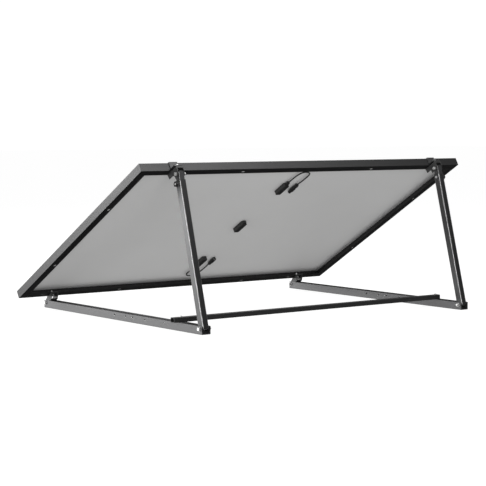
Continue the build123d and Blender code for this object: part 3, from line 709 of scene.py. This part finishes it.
# Stations from the tube outwards: share of depth, share of radius, depth of the hollows
# between the lobes as a share of radius.
GRIP_STATIONS = [
    (0.0, 0.50, 0.0), (0.02, 0.56, 0.0), (0.24, 0.58, 0.0), (0.30, 0.66, 0.02),
    (0.34, 0.90, 0.12), (0.40, 0.985, 0.17), (0.46, 1.0, 0.185), (0.80, 1.0, 0.185),
    (0.88, 0.985, 0.175), (0.945, 0.93, 0.15), (0.985, 0.80, 0.10), (1.0, 0.62, 0.03),
    (0.99, 0.44, 0.0), (0.94, 0.42, 0.0), (0.93, 0.40, 0.0),
]
INSERT_STATIONS = [
    (0.925, 0.27, 0.0), (0.965, 0.28, 0.0), (0.98, 0.26, 0.0), (0.98, 0.16, 0.0),
    (0.95, 0.15, 0.0),
]


def star_knob(side, sign):
    """Lobed grip with a metal insert at its mouth; sign is the outward way along X."""
    cad = "knob_" + side
    low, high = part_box(cad)
    centre = (low + high) / 2
    radius = (high.y - low.y) / 2 * KNOB_FIT
    depth = high.x - low.x
    inner_x = low.x if sign > 0 else high.x

    def turned(name, stations, segments, material):
        outlines = []
        for along, share, hollow in stations:
            x = inner_x + sign * depth * along
            outline = []
            for k in range(segments):
                angle = 2 * math.pi * k / segments
                dip = hollow * (0.5 - 0.5 * math.cos(KNOB_LOBES * angle)) ** 0.8
                reach = radius * (share - dip)
                outline.append((x, centre.y + reach * math.cos(angle),
                                centre.z + reach * math.sin(angle)))
            outlines.append(outline)
        return loft(name, outlines, material)

    grip = turned("knob_grip_" + side, GRIP_STATIONS, 72, KNOB_PLASTIC)
    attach(grip, cad)
    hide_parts(cad)
    insert = turned("knob_grip_" + side + "_insert", INSERT_STATIONS, 36, STEEL)
    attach(insert, cad)


star_knob("right", 1)
star_knob("left", -1)

# ---- floor ------------------------------------------------------------------------
FLOOR_HALF = 40.0
FLOOR_Z = -0.0004       # just under the feet
FLOOR_WHITE = 0.90      # glow seen by the camera
FLOOR_BOUNCE = 0.475    # glow seen by matt surfaces
FLOOR_GRAZE = 3.0       # glow seen by polished surfaces at a grazing angle
TO_KEY_VIEWER = (-0.605, 0.796, 0)  # from the floor to a viewer who looks to the key card


def studio_floor_material():
    """White to the eye, a soft bounce for matt surfaces. Polished ones see it bright
    only at a grazing angle and towards the key card, as on a satin floor."""
    material, g = new_material("studio_floor")
    rays = g.add("LightPath").outputs
    cloud = g.noise(g.coords(), scale=1.5, detail=3.0, rough=0.5)
    pale = g.mix(cloud, (0.30, 0.30, 0.30, 1), (0.32, 0.32, 0.32, 1))
    g.surface({
        "Base Color": g.mix(rays["Is Camera Ray"], (0.05, 0.05, 0.05, 1), pale),
        "Roughness": 0.9,
        "Specular IOR Level": 0.0,
    })
    incoming = g.add("NewGeometry").outputs["Incoming"]
    steepness = g.calc("ABSOLUTE", g.dot(incoming, (0, 0, 1)))
    graze = g.calc("POWER", g.minus(1.0, steepness, clamp=True), 4.0)
    graze = g.times(graze, by=g.facing(incoming, TO_KEY_VIEWER, power=4.0))
    glow = g.times(rays["Is Camera Ray"], by=FLOOR_WHITE)
    glow = g.vary(base=glow, pattern=rays["Is Diffuse Ray"], amount=FLOOR_BOUNCE)
    glow = g.vary(base=glow, pattern=g.times(graze, by=FLOOR_GRAZE),
                  amount=rays["Is Glossy Ray"])
    emission = g.add("Emission", {"Strength": glow}).outputs[0]
    g.finish(g.add("AddShader", {0: g.principled.outputs[0], 1: emission}).outputs[0])
    material.cycles.emission_sampling = "NONE"
    return material


floor_bm = bmesh.new()
floor_bm.faces.new([floor_bm.verts.new((x * FLOOR_HALF, y * FLOOR_HALF, FLOOR_Z))
                    for x, y in ((-1, -1), (1, -1), (1, 1), (-1, 1))])
mesh_object("studio_floor", floor_bm, studio_floor_material(), smooth=False)


# ---- world ------------------------------------------------------------------------
def studio_world():
    """White behind the scene; a dim glow with two soft lobes lights it."""
    world = bpy.data.worlds.new("studio")
    bpy.context.scene.world = world
    world.use_nodes = True
    g = Graph(world.node_tree, "OutputWorld")
    sky = g.add("TexCoord").outputs["Generated"]

    def lobe(direction, power, gain):
        return g.times(g.facing(sky, Vector(direction).normalized(), power), by=gain)

    glow = g.plus(lobe((0.0, -0.35, 1.0), power=2.0, gain=0.40),
                  lobe((0.62, -0.75, 0.30), power=3.0, gain=0.35))
    glow = g.plus(glow, extra=0.05)
    light, backdrop = [
        g.add("Background", {"Color": (1, 1, 1, 1), "Strength": strength}).outputs[0]
        for strength in (glow, 1.05)]
    camera_ray = g.add("LightPath").outputs["Is Camera Ray"]
    g.finish(g.mix_shader(camera_ray, light, backdrop))


studio_world()


# ---- lights -----------------------------------------------------------------------
def aim(item, direction):
    item.rotation_mode = "QUATERNION"
    item.rotation_quaternion = direction.to_track_quat("-Z", "Y")


def area_light(name, place, target, size, power):
    light = bpy.data.lights.new(name, "AREA")
    light.shape = "RECTANGLE"
    light.size, light.size_y = size
    light.energy = power
    lamp = bpy.data.objects.new(name, light)
    bpy.context.scene.collection.objects.link(lamp)
    lamp.location = place
    aim(lamp, Vector(target) - Vector(place))


# A large card past the panel's low edge, mirrored by the +X faces.
area_light("key_card", place=(4.3, -4.6, 0.9), target=(0.4, 0, 0.3), size=(3.6, 2.6), power=140)
# Stands beside the camera and lights the backsheet.
area_light("rear_fill", place=(3.4, 6.6, 0.9), target=(0, 0, 0.3), size=(3.4, 2.6), power=120)
# Rakes the top edge.
area_light("overhead_card", place=(-1.0, 2.3, 3.5), target=(0.5, 0.3, 0.6), size=(2.2, 1.8),
           power=54)
# A narrow box to the +X side draws a thin bright line down each rounded tube corner.
area_light("edge_strip", place=(5.6, 0.9, 1.0), target=(0, 0, 0.35), size=(0.28, 2.4), power=95)
# High on the glass side.
area_light("sun_side_fill", place=(0.6, -4.2, 4.2), target=(0, 0, 0.3), size=(3.0, 2.4),
           power=130)

# ---- camera and render ------------------------------------------------------------
AZIMUTH = math.radians(142.778)     # of the camera, turned from -Y towards +X
ELEVATION = math.radians(4.1945)

lens = bpy.data.cameras.new("camera")
camera = bpy.data.objects.new("camera", lens)
bpy.context.scene.collection.objects.link(camera)
bpy.context.scene.camera = camera
lens.sensor_width = 36.0
lens.lens = 119.56
lens.clip_start, lens.clip_end = 0.05, 200.0
camera.location = (4.3442, 5.6319, 0.8117)
aim(camera, -Vector((math.sin(AZIMUTH) * math.cos(ELEVATION),
                     -math.cos(AZIMUTH) * math.cos(ELEVATION),
                     math.sin(ELEVATION))))

scene = bpy.context.scene
scene.view_settings.view_transform = "Standard"
scene.view_settings.look = "None"
scene.view_settings.exposure = 0.0
scene.cycles.use_denoising = True
scene.cycles.transparent_max_bounces = 16
